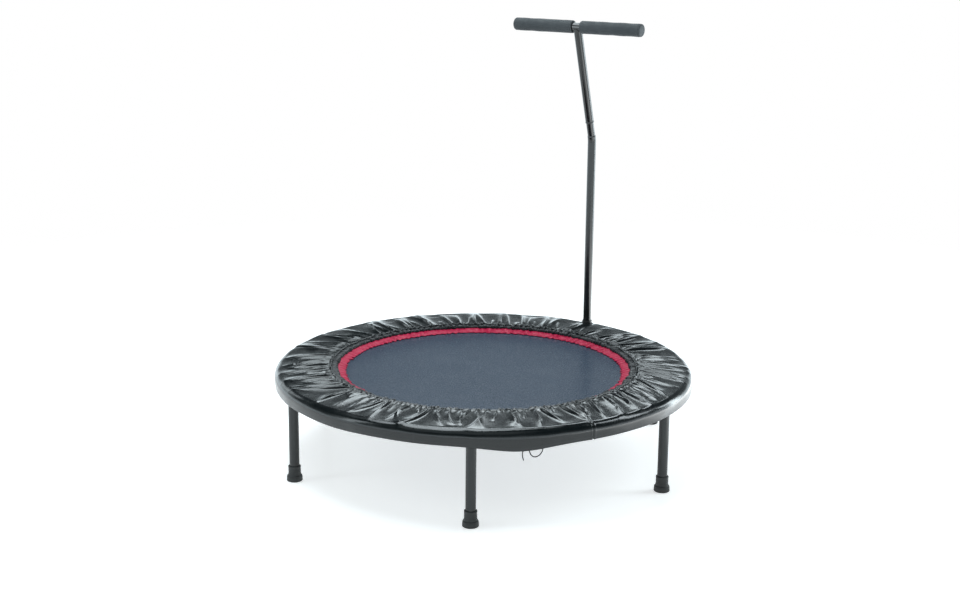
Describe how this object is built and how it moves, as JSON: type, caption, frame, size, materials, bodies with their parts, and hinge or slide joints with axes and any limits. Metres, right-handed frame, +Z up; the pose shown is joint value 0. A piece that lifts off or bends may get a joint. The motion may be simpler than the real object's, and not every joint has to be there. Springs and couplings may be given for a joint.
{
  "type": "mini trampoline",
  "caption": "Round mini trampoline on screw-in legs, with a sprung mat, a gathered pad cover with a red inner trim and a leaning T-bar handle with foam grips.",
  "frame": {"origin": "on the floor, at the middle of the round frame", "axes": "+Z up, +Y from the middle towards the handle's post, +X to the right for someone on the mat who faces the handle"},
  "size_m": [1.0416, 1.034, 1.0495],
  "materials": {
    "frame_paint": "satin black powder coat",
    "leg_paint": "satin black powder coat",
    "handle_paint": "gloss black paint",
    "zinc_steel": "bright zinc plate",
    "mat_fabric": "woven polypropylene with a satin sheen",
    "webbing": "flat woven webbing",
    "pad_foam": "closed-cell foam sheet",
    "cover_vinyl": "glossy black coated cloth, gathered",
    "casing_fabric": "ruched black cloth tunnel",
    "trim_satin": "crimson satin band",
    "elastic_cord": "braided black elastic",
    "foot_rubber": "matte moulded rubber",
    "grip_foam": "matte charcoal foam"
  },
  "bodies": {
    "frame": {"frame_half_rear": "frame_paint", "frame_half_front": "frame_paint", "frame_sleeves": "frame_paint", "leg_sockets": "frame_paint", "leg_studs": "zinc_steel", "leg_1": "leg_paint", "leg_2": "leg_paint", "leg_3": "leg_paint", "leg_4": "leg_paint", "leg_5": "leg_paint", "leg_6": "leg_paint", "foot_1": "foot_rubber", "foot_2": "foot_rubber", "foot_3": "foot_rubber", "foot_4": "foot_rubber", "foot_5": "foot_rubber", "foot_6": "foot_rubber", "springs": "zinc_steel", "foam_pad": "pad_foam", "pad_cover": "cover_vinyl", "hem_elastic": "elastic_cord", "inner_casing": "casing_fabric", "casing_elastic": "elastic_cord", "edge_trim": "trim_satin", "hem_cord": "elastic_cord", "handle_saddle": "frame_paint", "handle_bolt": "zinc_steel", "handle_washer": "zinc_steel", "post_insert": "zinc_steel", "lower_post": "handle_paint", "button_clip": "zinc_steel"},
    "mat": {"mat": "mat_fabric", "mat_border": "webbing", "ring_tabs": "webbing", "v_rings": "zinc_steel"},
    "t_bar": {"stem": "handle_paint", "crossbar": "handle_paint", "grip_left": "grip_foam", "grip_right": "grip_foam"}
  },
  "joints": [
    {"name": "mat_bounce", "type": "slide", "parent": "frame", "child": "mat", "axis": [0, 0, -1], "range_m": [0, 0.1], "stiffness_N_per_m": 10000, "springref_m": -0.004, "deforming": ["springs"]},
    {"name": "t_bar_height", "type": "slide", "parent": "frame", "child": "t_bar", "axis": [0, -0.2832, 0.9591], "range_m": [-0.025, 0.06], "deforming": ["button_clip"]}
  ]
}
